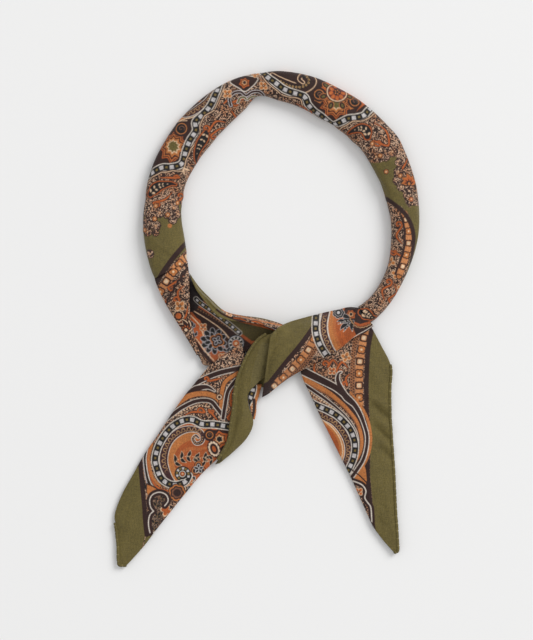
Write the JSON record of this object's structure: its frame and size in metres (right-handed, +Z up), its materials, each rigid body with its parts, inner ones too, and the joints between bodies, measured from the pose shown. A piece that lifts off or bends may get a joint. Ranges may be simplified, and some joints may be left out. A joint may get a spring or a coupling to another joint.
{
  "type": "neckerchief",
  "caption": "Square silk neckerchief with a paisley print, folded on the bias, laid flat in a neck loop and tied with one half knot",
  "frame": {"origin": "centre of the bounding box in plan, on the surface that the neckerchief lies on", "axes": "+Y from the tails towards the top of the neck loop, +X to the right seen from above, +Z up from the surface"},
  "size_m": [0.1721, 0.2784, 0.0166],
  "materials": {
    "paisley_silk": "printed silk twill, soft sheen",
    "olive_silk": "olive silk twill, soft sheen",
    "rust_silk": "printed silk twill, rust ground, soft sheen",
    "rolled_hem": "hand-rolled silk edge"
  },
  "bodies": {
    "root": {"collar_fold": "olive_silk", "fall_hem": "rolled_hem", "fall_turn": "paisley_silk", "knot_core": "olive_silk", "knot_wrap": "olive_silk", "left_tail": "paisley_silk", "left_tail_hem": "rolled_hem", "left_tail_under": "paisley_silk", "neck_roll_left": "paisley_silk", "neck_roll_lip": "olive_silk", "neck_roll_right": "paisley_silk", "olive_fall": "olive_silk", "pocket_floor": "rust_silk", "pocket_front": "paisley_silk", "right_tail": "paisley_silk", "right_tail_hem": "rolled_hem", "right_tail_under": "paisley_silk"}
  },
  "joints": []
}
